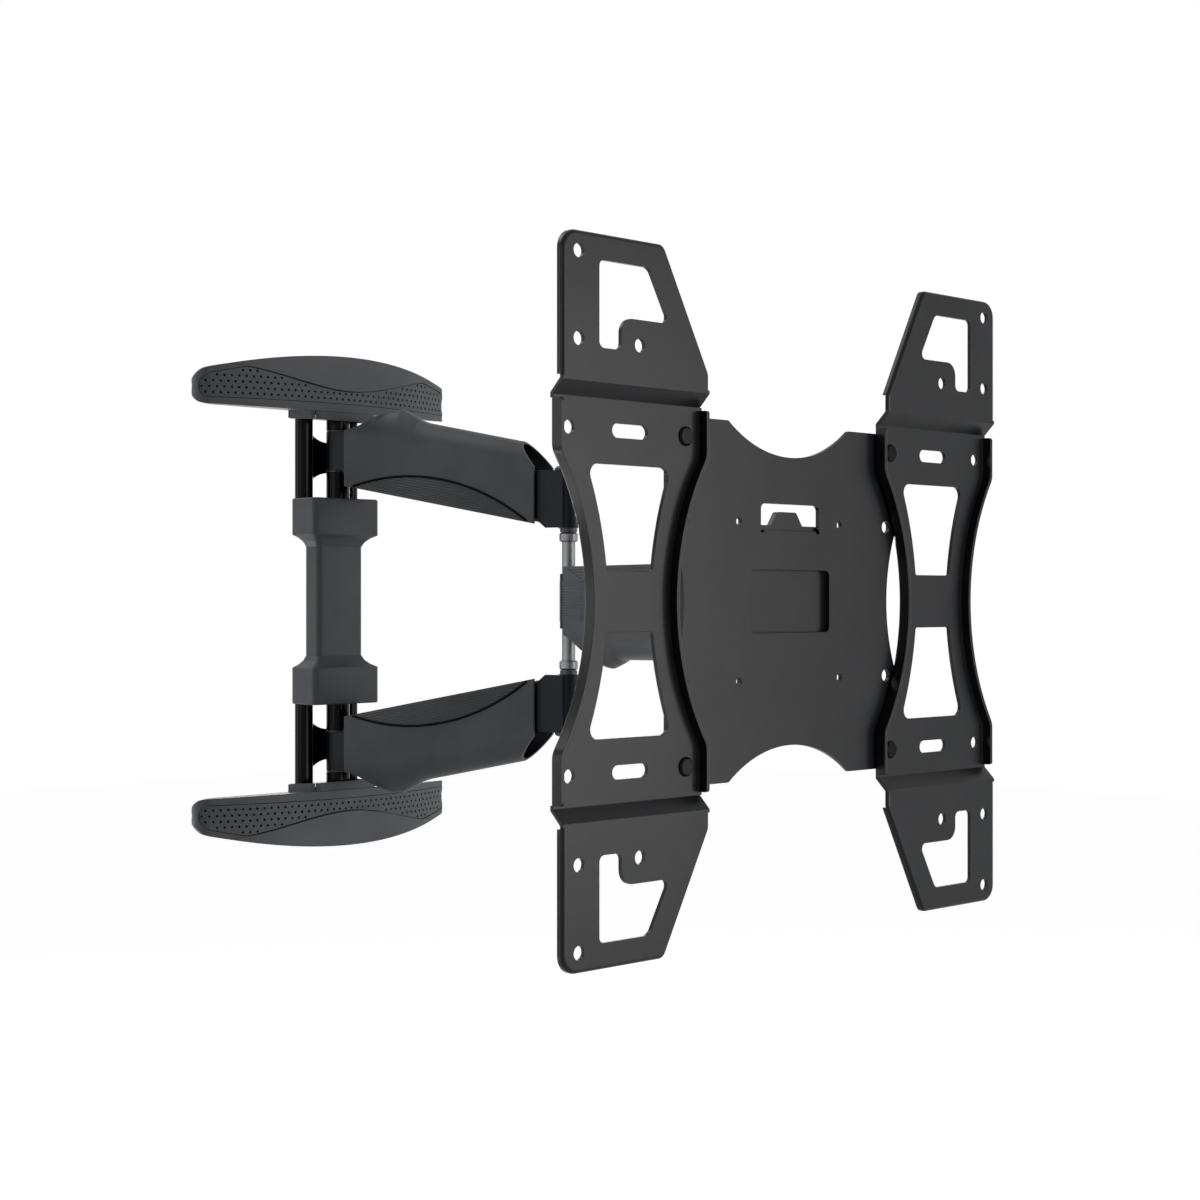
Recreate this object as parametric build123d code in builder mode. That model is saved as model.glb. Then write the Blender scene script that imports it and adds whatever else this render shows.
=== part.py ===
from build123d import *
import os
from math import atan2, cos, radians, sin, sqrt

# Full motion TV wall mount. Millimetres, origin on the wall at mid-height.
# X runs to the viewer's right, Y into the wall, Z up. "Reach" is the distance
# in front of the wall, so a point at reach r lies at Y = -r.

# Screen plate
VESA = 200.0                # half of the widest hole spacing
SHEET = 2.5                 # bracket sheet
TAB_REACH = 508.0           # middle of the bracket tabs' sheet
BODY_REACH = 500.0          # middle of the bracket bodies' sheet
BRACKET_X = 150.0           # centre of a bracket
BODY_HALF = 62.6            # half-width of a bracket body at its ends
WAIST_HALF = 36.0           # half-width of a bracket body at its waist
WAIST_R = 154.0             # radius of the waist
BODY_TOP = 118.0            # where the body ends and the joggle starts
BODY_FLANGE = 9.0           # depth of the folded sides of a body
FOLD_Z = 126.0              # where the joggle ends and the tab starts
TAB_TOP = 211.8
TAB_OUT = 212.6             # outer edge of a tab
TAB_IN = 89.0               # inner edge of a tab at its root
TAB_FLANGE = 5.0            # depth of the folded edges of a tab
BEND_R = 2.3                # outer radius of the folds
SCREW_R = 4.2               # clearance hole for a screen screw
BOLT_X, BOLT_Z, BOLT_R = 102.0, 100.0, 4.0      # bolts that join brackets and centre plate
CENTRE_T = 3.0              # centre plate sheet
CENTRE_HALF_X = 115.5
CENTRE_HALF_Z = 112.4
HEAD_T = 4.0                # head plate
BADGE_X, BADGE_Z = 79.0, 40.0
WINDOW_HALF, WINDOW_LOW, WINDOW_HIGH = 29.0, 45.2, 62.0
TONGUE_LOW, TONGUE_HIGH = 48.5, 57.2

# Pivots, all vertical, in plan
ARM_LENGTH = 216.0
ARM_ANGLE = 14.84           # each arm's turn from straight out
SHOULDER_REACH = 28.5
PIN_R = 6.0
RUN_FIT = 0.05              # radial clearance of a turning fit
SHAFT_R = 5.0               # elbow shaft

# Arms, measured along the arm from its root pivot
COVER_HALF = 14.5
COVER_WALL = 1.8
COVER_START, COVER_END = 17.0, 194.0
ROOF_END = 176.0
SIDE_HEIGHT = 43.0          # flat side of an arm cover, below the fold line
FOREARM_SIDE = 49.1         # flat side of the forearm cover
FOREARM_FOLD = 23.5         # depth of its fold line below the elbow's middle
SCALLOP_START, SCALLOP_END = 22.0, 191.0
SCALLOP_HEIGHT, SCALLOP_DEPTH = 20.5, 0.5
ARM_HALF = 11.0
PLATE_END = 217.4           # where the side plates end at the elbow
ARM_SHEET = 2.5
ROOT_LOW, ROOT_HIGH = 104.4, 135.2      # hinge tube at the shoulder
ROOT_R, ROOT_BORE = 9.3, 7.2
ELBOW_LOW, ELBOW_HIGH = 55.0, 98.0      # hinge tube at the elbow
FOREARM_HALF_Z = 20.5
FLANGE_T = 1.2

# Wall unit
ROD_X, ROD_REACH, ROD_R = 22.5, 13.5, 7.2
SHELF_LOW, SHELF_T = 147.0, 3.0
SHELF_HALF, SHELF_DEEP = 28.0, 37.5
LUG_LOW, LUG_HIGH = 58.0, 74.0
COLLAR_LOW, COLLAR_HIGH = 53.0, 82.0
WAIST, COLLAR = (45.0, 19.5, 23.0), (65.4, 32.5, 25.0)      # width, depth and reach of the column cover
COVE = ((0, 0), (43.5, 0), (47.5, 0.22), (50.5, 0.55), (COLLAR_LOW, 1), (COLLAR_HIGH, 1))
COLUMN_CORNER = 4.5
TUBE_REACH, LUG_REACH = 23.0, 24.5
PLATE_T = 3.0
WALL_SLOT_X, WALL_SLOT_Z = 80.0, 165.5
COVER_LOW = 150.0
COVER_HALF_X = 124.0
COVER_DEPTH = 43.0

# Head
TILT_REACH = 472.0
TILT_TUBE_R = 8.0
TILT_TUBE_HALF = 24.0
TILT_BOLT_R = 4.0

shoulder = (0.0, -SHOULDER_REACH)
elbow = (ARM_LENGTH * sin(radians(ARM_ANGLE)), -SHOULDER_REACH - ARM_LENGTH * cos(radians(ARM_ANGLE)))
pan = (0.0, elbow[1] - ARM_LENGTH * cos(radians(ARM_ANGLE)))


def front(reach):
    """Plane that faces the viewer at a distance from the wall; x is X and y is Z."""
    return Plane.XZ.offset(reach)


def along(root, angle):
    """Upright plane along an arm: x runs from the root pivot to the next, y is Z."""
    turn = radians(angle)
    return Plane(origin=(*root, 0), x_dir=(sin(turn), -cos(turn), 0), z_dir=(-cos(turn), -sin(turn), 0))


def ring(radius, bore, low, high, at):
    """Upright sleeve, as a part."""
    with BuildPart() as sleeve:
        with BuildSketch(Plane.XY.offset(low)):
            with Locations(at):
                Circle(radius)
                if bore:
                    Circle(bore, mode=Mode.SUBTRACT)
        extrude(amount=high - low)
    return sleeve.part


def hexagon(across, low, high, at):
    """Upright hexagon head or nut, as a part."""
    with BuildPart() as head:
        with BuildSketch(Plane.XY.offset(low)):
            with Locations(at):
                RegularPolygon(across / 2, 6, major_radius=False)
        extrude(amount=high - low)
    return head.part


def save(part, name):
    """Label a finished piece and write it out."""
    part.label = name
    export_step(part, f"parts/{name}.step")


os.makedirs("parts", exist_ok=True)

# Bracket: one folded sheet with a tab at each end and a narrow-waisted body set back


def tab_face():
    """Upper right tab without its cut-out."""
    with BuildSketch() as face:
        with BuildLine():
            Polyline(
                (TAB_IN, FOLD_Z), (TAB_OUT, FOLD_Z), (TAB_OUT, TAB_TOP), (129, TAB_TOP), (TAB_IN, 138),
                close=True,
            )
        make_face()
        fillet(face.vertices().filter_by_position(Axis.Y, TAB_TOP - 1, TAB_TOP + 1).sort_by(Axis.X)[-1:], 11)
        fillet(face.vertices().filter_by_position(Axis.X, 120, 135), 6)
        fillet(face.vertices().filter_by_position(Axis.Y, 137, 139), 8)
    return face.sketch


def body_face(inset=0.0):
    """Narrow-waisted body of a bracket, drawn in by an inset on its long sides."""
    half, waist = BODY_HALF - inset, WAIST_HALF - inset
    kink = ((WAIST_R + inset) ** 2 - (WAIST_R + WAIST_HALF - half) ** 2) ** 0.5
    with BuildSketch() as face:
        with BuildLine():
            Line((half, BODY_TOP), (half, kink))
            ThreePointArc((half, kink), (waist, 0), (half, -kink))
            Line((half, -kink), (half, -BODY_TOP))
            Line((half, -BODY_TOP), (-half, -BODY_TOP))
            Line((-half, -BODY_TOP), (-half, -kink))
            ThreePointArc((-half, -kink), (-waist, 0), (-half, kink))
            Line((-half, kink), (-half, BODY_TOP))
            Line((-half, BODY_TOP), (half, BODY_TOP))
        make_face()
        fillet(face.vertices().filter_by_position(Axis.Y, -BODY_TOP + 5, BODY_TOP - 5), 12)
    return face.sketch


def body_window():
    """Waisted window in the upper half of a bracket body."""
    low, high, low_half, high_half = 18.0, 80.0, 19.5, 36.0
    with BuildSketch() as face:
        with BuildLine():
            ThreePointArc((low_half, low), (25.0, 48.0), (high_half, high))
            Line((high_half, high), (-high_half, high))
            ThreePointArc((-high_half, high), (-25.0, 48.0), (-low_half, low))
            Line((-low_half, low), (low_half, low))
        make_face()
        fillet(face.vertices().sort_by(Axis.Y)[-2:], 6)
        fillet(face.vertices().sort_by(Axis.Y)[:2], 1.5)
    return face.sketch


def tab_cutout():
    """Cut-out in the upper right tab, stepped round the inner screw hole."""
    with BuildSketch() as face:
        with BuildLine():
            Polyline(
                (183.5, 146), (183.5, 196.5), (142, 196.5), (127, 170), (127, 165), (165.5, 165),
                (165.5, 146), close=True,
            )
        make_face()
        fillet(face.vertices().filter_by_position(Axis.X, 165, 166).sort_by(Axis.Y)[-1:], 9)
        fillet(face.vertices().filter_by_position(Axis.Y, 145, 147), 4)
        fillet(face.vertices().filter_by_position(Axis.X, 183, 184).sort_by(Axis.Y)[-1:], 3.5)
        fillet(face.vertices().filter_by_position(Axis.X, 141, 143), 6)
        fillet(face.vertices().filter_by_position(Axis.X, 126, 128), 3.5)
    return face.sketch


def tab():
    """Upper right tab: a sheet with rounded, folded-back edges."""
    tab_front = TAB_REACH + SHEET / 2
    with BuildPart() as part:
        with BuildSketch(front(tab_front)):
            add(tab_face())
        extrude(amount=-TAB_FLANGE)
        rounded = part.faces().sort_by(Axis.Y)[0].edges().filter_by_position(Axis.Z, FOLD_Z + 1, TAB_TOP + 1)
        fillet(rounded, BEND_R)
        # hollow behind the sheet, open between the folded edges
        with BuildSketch(front(tab_front - SHEET)):
            rim = add(tab_face())
            offset(rim, amount=-SHEET, mode=Mode.REPLACE)
            with Locations((167, TAB_TOP)):
                Rectangle(66, 14)
            with Locations((BRACKET_X, FOLD_Z)):
                Rectangle(140, 6)
            with Locations((TAB_IN, FOLD_Z)):
                Rectangle(30, 24)
        extrude(amount=-TAB_FLANGE, mode=Mode.SUBTRACT)
        with BuildSketch(front(tab_front)):
            add(tab_cutout())
        extrude(amount=-TAB_FLANGE, mode=Mode.SUBTRACT)
    return part.part


def bracket():
    """Right bracket: waisted body with folded sides, a joggle and a tab at each end."""
    tab_front = TAB_REACH + SHEET / 2
    body_back = BODY_REACH - SHEET / 2
    body_front = BODY_REACH + SHEET / 2
    with BuildPart() as part:
        with BuildSketch(front(body_back)):
            with Locations((BRACKET_X, 0)):
                add(body_face())
        extrude(amount=SHEET)
        # sides folded forward
        with BuildSketch(front(body_back)):
            with Locations((BRACKET_X, 0)):
                add(body_face())
                add(body_face(SHEET), mode=Mode.SUBTRACT)
            with Locations((BRACKET_X, BODY_TOP), (BRACKET_X, -BODY_TOP)):
                Rectangle(2 * BODY_HALF, 4, mode=Mode.SUBTRACT)
        extrude(amount=BODY_FLANGE)
        ends = part.edges().filter_by(Axis.X).filter_by_position(
            Axis.Y, -body_back - BODY_FLANGE - 0.1, -body_back - BODY_FLANGE + 0.1
        )
        fillet(ends, 2)
        bends = part.faces().sort_by(Axis.Y)[-1].edges().filter_by(Axis.X, reverse=True)
        fillet(bends, BEND_R)
        with BuildSketch(front(tab_front)):
            with Locations((BRACKET_X, 0)):
                window = add(body_window())
                mirror(window, about=Plane.XZ)
        extrude(amount=-20, mode=Mode.SUBTRACT)
        add(tab())
        # sloping joggle between body and tab
        with BuildSketch(Plane.YZ.offset(TAB_IN)):
            with BuildLine():
                Polyline(
                    (-tab_front, FOLD_Z + 2), (-tab_front, FOLD_Z), (-body_front, BODY_TOP),
                    (-body_front, BODY_TOP - 2), (-body_back, BODY_TOP - 2), (-body_back, BODY_TOP + 1),
                    (-tab_front + SHEET, FOLD_Z + 1), (-tab_front + SHEET, FOLD_Z + 2), close=True,
                )
            make_face()
        extrude(amount=TAB_OUT - TAB_IN)
        mirror(part.part, about=Plane.XY)
        # screen screw holes: round on the tabs and the body ends, slots between
        with BuildSketch(front(tab_front)):
            for side in (-1, 1):
                with Locations((VESA, side * 200), (VESA, side * 150), (150, side * 150), (VESA, side * 100)):
                    Circle(SCREW_R)
                with Locations((150, side * 100)):
                    SlotOverall(30, 2 * SCREW_R)
                with Locations((BOLT_X, side * BOLT_Z)):
                    Circle(BOLT_R)
        extrude(amount=-20, mode=Mode.SUBTRACT)
    return part.part


with BuildPart() as right_bracket:
    add(bracket())
with BuildPart() as left_bracket:
    mirror(right_bracket.part, about=Plane.YZ)
save(right_bracket.part, "right_bracket")
save(left_bracket.part, "left_bracket")

# Centre plate: flat sheet with four concave sides, behind both brackets
centre_front = BODY_REACH - SHEET / 2
with BuildPart() as centre_plate:
    with BuildSketch(front(centre_front)):
        with BuildLine():
            ThreePointArc((60, CENTRE_HALF_Z), (0, 92), (-60, CENTRE_HALF_Z))
            Polyline((-60, CENTRE_HALF_Z), (-CENTRE_HALF_X, CENTRE_HALF_Z), (-CENTRE_HALF_X, 57))
            ThreePointArc((-CENTRE_HALF_X, 57), (-100.8, 0), (-CENTRE_HALF_X, -57))
            Polyline((-CENTRE_HALF_X, -57), (-CENTRE_HALF_X, -CENTRE_HALF_Z), (-60, -CENTRE_HALF_Z))
            ThreePointArc((-60, -CENTRE_HALF_Z), (0, -92), (60, -CENTRE_HALF_Z))
            Polyline((60, -CENTRE_HALF_Z), (CENTRE_HALF_X, -CENTRE_HALF_Z), (CENTRE_HALF_X, -57))
            ThreePointArc((CENTRE_HALF_X, -57), (100.8, 0), (CENTRE_HALF_X, 57))
            Polyline((CENTRE_HALF_X, 57), (CENTRE_HALF_X, CENTRE_HALF_Z), (60, CENTRE_HALF_Z))
        make_face()
        RectangleRounded(BADGE_X, BADGE_Z, 4, mode=Mode.SUBTRACT)
        with Locations((0, (WINDOW_LOW + WINDOW_HIGH) / 2)):
            RectangleRounded(2 * WINDOW_HALF, WINDOW_HIGH - WINDOW_LOW, 3.5, mode=Mode.SUBTRACT)
        # relief notches at the window's lower corners
        with Locations((-WINDOW_HALF + 1.5, WINDOW_LOW), (WINDOW_HALF - 1.5, WINDOW_LOW)):
            Rectangle(3, 3, mode=Mode.SUBTRACT)
        with GridLocations(100, 100, 2, 2):
            Circle(2.6, mode=Mode.SUBTRACT)
        with GridLocations(200, 100, 2, 2):
            Circle(SCREW_R, mode=Mode.SUBTRACT)
        with GridLocations(2 * BOLT_X, 2 * BOLT_Z, 2, 2):
            Circle(BOLT_R, mode=Mode.SUBTRACT)
    extrude(amount=-CENTRE_T)
save(centre_plate.part, "centre_plate")

# Bracket bolts: low round heads in front, nuts behind the centre plate
body_front = BODY_REACH + SHEET / 2
centre_back = centre_front - CENTRE_T
with BuildPart() as bracket_bolts:
    with BuildSketch(front(body_front)):
        with GridLocations(2 * BOLT_X, 2 * BOLT_Z, 2, 2):
            Circle(6)
    extrude(amount=1.8)
    chamfer(bracket_bolts.faces().sort_by(Axis.Y)[:4].edges(), 1.2)
    with BuildSketch(front(centre_back - 5)):
        with GridLocations(2 * BOLT_X, 2 * BOLT_Z, 2, 2):
            Circle(BOLT_R)
    extrude(amount=body_front - centre_back + 5)
    with BuildSketch(front(centre_back)):
        with GridLocations(2 * BOLT_X, 2 * BOLT_Z, 2, 2):
            RegularPolygon(6.5, 6, major_radius=False)
    extrude(amount=-4.5)
save(bracket_bolts.part, "bracket_bolts")

# Head plate: carries the screen plate; its tongue stands in the hook window
head_back = centre_back - HEAD_T
HEAD_HALF, HEAD_LOW = 48.0, -74.0
LOCK_Z = -62.0
with BuildPart() as head_plate:
    with BuildSketch(front(centre_back)):
        with Locations((0, (TONGUE_LOW + HEAD_LOW) / 2)):
            RectangleRounded(2 * HEAD_HALF, TONGUE_LOW - HEAD_LOW, 8)
        with BuildLine():
            Polyline(
                (-15.2, TONGUE_LOW - 2), (-15.2, TONGUE_LOW), (-9.2, TONGUE_HIGH), (9.2, TONGUE_HIGH),
                (15.2, TONGUE_LOW), (15.2, TONGUE_LOW - 2), close=True,
            )
        make_face()
        with Locations((0, LOCK_Z)):
            Circle(8, mode=Mode.SUBTRACT)
        with GridLocations(100, 100, 2, 2):
            Circle(6, mode=Mode.SUBTRACT)
    extrude(amount=-HEAD_T)
    # shallow bare pocket seen through the centre plate
    with BuildSketch(front(centre_back)):
        RectangleRounded(BADGE_X, BADGE_Z, 4)
    extrude(amount=-1.6, mode=Mode.SUBTRACT)
    fillet(head_plate.edges().filter_by(Axis.Y).filter_by_position(Axis.Z, 56, 58), 3)
save(head_plate.part, "head_plate")

with BuildPart() as lock_nut:
    with BuildSketch(front(centre_back)):
        with Locations((0, LOCK_Z)):
            RegularPolygon(6.5, 6, major_radius=False)
            Circle(3, mode=Mode.SUBTRACT)
    extrude(amount=-HEAD_T)
save(lock_nut.part, "lock_nut")

with BuildPart() as lock_screw:
    with BuildSketch(front(centre_back)):
        with Locations((0, LOCK_Z)):
            Circle(3)
    extrude(amount=-HEAD_T)
    with BuildSketch(front(head_back)):
        with Locations((0, LOCK_Z)):
            Circle(11)
    extrude(amount=-1.5)
    with BuildSketch(front(head_back - 1.5)):
        with Locations((0, LOCK_Z)):
            RegularPolygon(5, 6, major_radius=False)
    extrude(amount=-5)
save(lock_screw.part, "lock_screw")

# Levelling pivot: a stud on the head plate turns in the tilt bracket's face
LEVEL_R = 4.0
WASHER_T = 1.0
FACE_T = 3.5
face_front = head_back - WASHER_T
face_back = face_front - FACE_T
with BuildPart() as level_stud:
    with BuildSketch(front(head_back)):
        Circle(LEVEL_R)
    extrude(amount=-(head_back - face_back) - 5.5)
save(level_stud.part, "level_stud")

with BuildPart() as level_nut:
    with BuildSketch(front(face_back - 0.3)):
        RegularPolygon(6.5, 6, major_radius=False)
        Circle(LEVEL_R, mode=Mode.SUBTRACT)
    extrude(amount=-4.5)
save(level_nut.part, "level_nut")

with BuildPart() as level_washer:
    with BuildSketch(front(head_back - 0.15)):
        Circle(22)
        Circle(LEVEL_R + RUN_FIT, mode=Mode.SUBTRACT)
    extrude(amount=-WASHER_T + 0.15)
save(level_washer.part, "level_washer")

# Tilt bracket: folded face with a cheek on each side of the tilt tube
CHEEK_T = 3.5
cheek_in = TILT_TUBE_HALF + 1.0
with BuildPart() as tilt_bracket:
    with BuildSketch(front(face_front)):
        RectangleRounded(2 * (cheek_in + CHEEK_T), 70, 3)
        Circle(LEVEL_R + RUN_FIT, mode=Mode.SUBTRACT)
    extrude(amount=-FACE_T)
    with BuildSketch(Plane.YZ.offset(cheek_in)):
        with BuildLine():
            Line((-face_front, 26), (-face_front, -26))
            Line((-face_front, -26), (-face_back, -26))
            Line((-face_back, -26), (-TILT_REACH, -10))
            ThreePointArc((-TILT_REACH, -10), (-TILT_REACH + 10, 0), (-TILT_REACH, 10))
            Line((-TILT_REACH, 10), (-face_back, 26))
            Line((-face_back, 26), (-face_front, 26))
        make_face()
        with Locations((-TILT_REACH, 0)):
            Circle(TILT_BOLT_R, mode=Mode.SUBTRACT)
    cheek = extrude(amount=CHEEK_T)
    mirror(cheek, about=Plane.YZ)
save(tilt_bracket.part, "tilt_bracket")

with BuildPart() as tilt_washers:
    with BuildSketch(Plane.YZ.offset(TILT_TUBE_HALF + 0.1)):
        with Locations((-TILT_REACH, 0)):
            Circle(9)
            Circle(TILT_BOLT_R, mode=Mode.SUBTRACT)
    washer = extrude(amount=0.9)
    mirror(washer, about=Plane.YZ)
save(tilt_washers.part, "tilt_washers")

cheek_out = cheek_in + CHEEK_T
with BuildPart() as tilt_bolt:
    with BuildSketch(Plane.YZ.offset(-cheek_out - 9)):
        with Locations((-TILT_REACH, 0)):
            Circle(TILT_BOLT_R)
    extrude(amount=2 * cheek_out + 9)
    with BuildSketch(Plane.YZ.offset(cheek_out)):
        with Locations((-TILT_REACH, 0)):
            RegularPolygon(6.5, 6, major_radius=False)
    extrude(amount=5.3)
save(tilt_bolt.part, "tilt_bolt")

with BuildPart() as tilt_nut:
    with BuildSketch(Plane.YZ.offset(-cheek_out - 6.5)):
        with Locations((-TILT_REACH, 0)):
            RegularPolygon(6.5, 6, major_radius=False)
            Circle(TILT_BOLT_R, mode=Mode.SUBTRACT)
    extrude(amount=6.5)
save(tilt_nut.part, "tilt_nut")

# Pan head: a fork round the forearm's front hinge tube, with the tilt tube across its nose
EAR_LOW, EAR_HIGH = 22.0, 29.0
nose = TILT_REACH - TILT_TUBE_R + 2
pan_reach = -pan[1]
with BuildPart() as pan_head:
    with BuildSketch(Plane.XY.offset(-EAR_HIGH)):
        with BuildLine():
            Line((-13, -nose), (13, -nose))
            Line((13, -nose), (13, -pan_reach))
            ThreePointArc((13, -pan_reach), (0, -pan_reach + 13), (-13, -pan_reach))
            Line((-13, -pan_reach), (-13, -nose))
        make_face()
        with Locations(pan):
            Circle(PIN_R, mode=Mode.SUBTRACT)
    extrude(amount=2 * EAR_HIGH)
    # the mouth of the fork, back to the nose wall
    with BuildSketch(Plane.XY.offset(-EAR_LOW)):
        with Locations((0, -pan_reach + 20)):
            Rectangle(60, 2 * (20 + 13.2))
    extrude(amount=2 * EAR_LOW, mode=Mode.SUBTRACT)
    with BuildSketch(Plane.YZ.offset(-TILT_TUBE_HALF)):
        with Locations((-TILT_REACH, 0)):
            Circle(TILT_TUBE_R)
    extrude(amount=2 * TILT_TUBE_HALF)
    with BuildSketch(Plane.YZ.offset(-TILT_TUBE_HALF)):
        with Locations((-TILT_REACH, 0)):
            Circle(TILT_BOLT_R + RUN_FIT)
    extrude(amount=2 * TILT_TUBE_HALF, mode=Mode.SUBTRACT)
save(pan_head.part, "pan_head")

with BuildPart() as pan_bolt:
    add(ring(PIN_R, 0, -EAR_HIGH - 9, EAR_HIGH, pan))
    add(hexagon(18, EAR_HIGH, EAR_HIGH + 6, pan))
save(pan_bolt.part, "pan_bolt")
with BuildPart() as pan_nut:
    add(hexagon(18, -EAR_HIGH - 7, -EAR_HIGH, pan))
    add(ring(PIN_R, 0, -EAR_HIGH - 7, -EAR_HIGH, pan), mode=Mode.SUBTRACT)
save(pan_nut.part, "pan_nut")

# Arms and forearm: a folded channel inside a moulded cover with a cable roof


QUARTER = (1, 0.5**0.5, 1)  # weights of a quarter of an ellipse
# heights of the cable roof above the fold line, along the arm
ROOF_STATIONS = (
    (COVER_START, 18.4), (44, 18.6), (52, 22.2), (60, 24.6), (66, 25.2), (75.5, 22.3), (83, 19.3), (90, 18.4),
    (COVER_END, 16.7),
)
RAMP = ((COVER_START, 1.3), (33, 8.6), (44, 18.4))      # hollow ramp from the root up to the hump


def cover_block(plane, fold, side, inset):
    """Solid form of a cover, drawn in by an inset: flat sides and a humped, arched cable roof."""
    half = COVER_HALF - inset
    past = 1.0 if inset else 0.0
    ends = {COVER_START: COVER_START - past, COVER_END: COVER_END + past}
    drop = side + 2 * past
    with BuildPart() as block:
        for t, height in ROOF_STATIONS:
            at = ends.get(t, t)
            section = Plane(plane.from_local_coords((at, 0, 0)), x_dir=plane.z_dir, z_dir=-plane.x_dir)
            with BuildSketch(section):
                with BuildLine():
                    crest = fold(at) + height - inset
                    Bezier((half, fold(at)), (half, crest), (0, crest), weights=QUARTER)
                    Bezier((0, crest), (-half, crest), (-half, fold(at)), weights=QUARTER)
                    Line((-half, fold(at)), (half, fold(at)))
                make_face()
        loft(ruled=True)
        with BuildSketch(plane):
            with BuildLine():
                foot, middle, top = [(t + inset, fold(t + inset) + height - inset) for t, height in RAMP]
                ThreePointArc(foot, middle, top)
                Polyline(top, (top[0], top[1] + 40), (foot[0] - 9, top[1] + 40), (foot[0] - 9, foot[1]), foot)
            make_face()
        extrude(amount=2 * COVER_HALF, both=True, mode=Mode.SUBTRACT)
        with BuildSketch(plane):
            with BuildLine():
                start, end = ends[COVER_START], ends[COVER_END]
                Polyline(
                    (start, fold(start)), (start, fold(start) - drop), (end, fold(end) - drop),
                    (end, fold(end)), close=True,
                )
            make_face()
        extrude(amount=half, both=True)
    return block.part


def arm_cover(plane, fold, side):
    """Moulded cover, open below for the channel and at both ends for cables."""
    end_fold = fold(COVER_END)
    with BuildPart() as cover:
        add(cover_block(plane, fold, side, 0))
        add(cover_block(plane, fold, side, COVER_WALL), mode=Mode.SUBTRACT)
        # slanted mouth of the roof at the far end
        with BuildSketch(plane):
            with BuildLine():
                Polyline(
                    (ROOF_END, fold(ROOF_END) + 17), (COVER_END, end_fold), (COVER_END + 5, end_fold),
                    (COVER_END + 5, end_fold + 40), (ROOF_END, end_fold + 40), close=True,
                )
            make_face()
        extrude(amount=2 * COVER_HALF, both=True, mode=Mode.SUBTRACT)
        # shallow scallop along the lower edge of each side
        low = (fold(SCALLOP_START) - side, fold(SCALLOP_END) - side)
        middle = (SCALLOP_START + SCALLOP_END) / 2
        for face in (COVER_HALF - SCALLOP_DEPTH, -COVER_HALF - 1):
            with BuildSketch(plane.offset(face)):
                with BuildLine():
                    ThreePointArc(
                        (SCALLOP_START, low[0]), (middle, (low[0] + low[1]) / 2 + SCALLOP_HEIGHT),
                        (SCALLOP_END, low[1]),
                    )
                    Polyline(
                        (SCALLOP_END, low[1]), (SCALLOP_END, low[1] - 3), (SCALLOP_START, low[0] - 3),
                        (SCALLOP_START, low[0]),
                    )
                make_face()
            extrude(amount=1 + SCALLOP_DEPTH, mode=Mode.SUBTRACT)
    return cover.part


def arm_fold(t):
    """Fold line of the upper arm's cover, sloping from the shoulder to the elbow."""
    return 134.2 - 0.187 * (t - COVER_START)


def forearm_fold(t):
    """Fold line of the forearm's cover, drawn upside down."""
    return FOREARM_FOLD


def channel(plane, low, high, hollow, tubes, open_from=None):
    """Folded channel between two hinge tubes, open on the side of the cable roof.

    low and high are lines of (distance, height) from the root to the far pivot,
    and hollow is the line of the channel's floor. Past open_from only the side
    plates go on.
    """
    with BuildPart() as arm:
        with BuildSketch(plane):
            with BuildLine():
                Polyline(*low, *reversed(high), close=True)
            make_face()
        extrude(amount=ARM_HALF, both=True)
        with BuildSketch(plane):
            with BuildLine():
                (near, near_floor), (far, far_floor) = hollow
                Polyline(
                    (near, near_floor), (far, far_floor), (far, far_floor + 60), (near, near_floor + 60),
                    close=True,
                )
            make_face()
        extrude(amount=ARM_HALF - ARM_SHEET, both=True, mode=Mode.SUBTRACT)
        if open_from:
            with BuildSketch(plane):
                with Locations((open_from + 30, 0)):
                    Rectangle(60, 400)
            extrude(amount=ARM_HALF - ARM_SHEET, both=True, mode=Mode.SUBTRACT)
        for radius, bore, bottom, top, at in tubes:
            add(ring(radius, 0, bottom, top, at))
            add(ring(bore, 0, bottom - 30, top + 30, at), mode=Mode.SUBTRACT)
    return arm.part


arm_plane = along(shoulder, ARM_ANGLE)
with BuildPart() as upper_arm:
    add(
        channel(
            arm_plane,
            [
                (3, ROOT_LOW), (11.5, ROOT_LOW), (20, 94.5), (194, 61.5), (202, ELBOW_LOW),
                (PLATE_END, ELBOW_LOW),
            ],
            [(3, ROOT_HIGH), (12, ROOT_HIGH), (194, ELBOW_HIGH), (PLATE_END, ELBOW_HIGH)],
            [(22, 94.5 + ARM_SHEET), (198, 60.6 + ARM_SHEET)],
            [(ROOT_R, ROOT_BORE, ROOT_LOW, ROOT_HIGH, shoulder), (8.6, 7.5, ELBOW_LOW, ELBOW_HIGH, elbow)],
            open_from=201,
        )
    )
with BuildPart() as lower_arm:
    mirror(upper_arm.part, about=Plane.XY)
save(upper_arm.part, "upper_arm")
save(lower_arm.part, "lower_arm")

with BuildPart() as upper_arm_cover:
    add(arm_cover(arm_plane, arm_fold, SIDE_HEIGHT))
with BuildPart() as lower_arm_cover:
    mirror(upper_arm_cover.part, about=Plane.XY)
save(upper_arm_cover.part, "upper_arm_cover")
save(lower_arm_cover.part, "lower_arm_cover")

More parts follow.
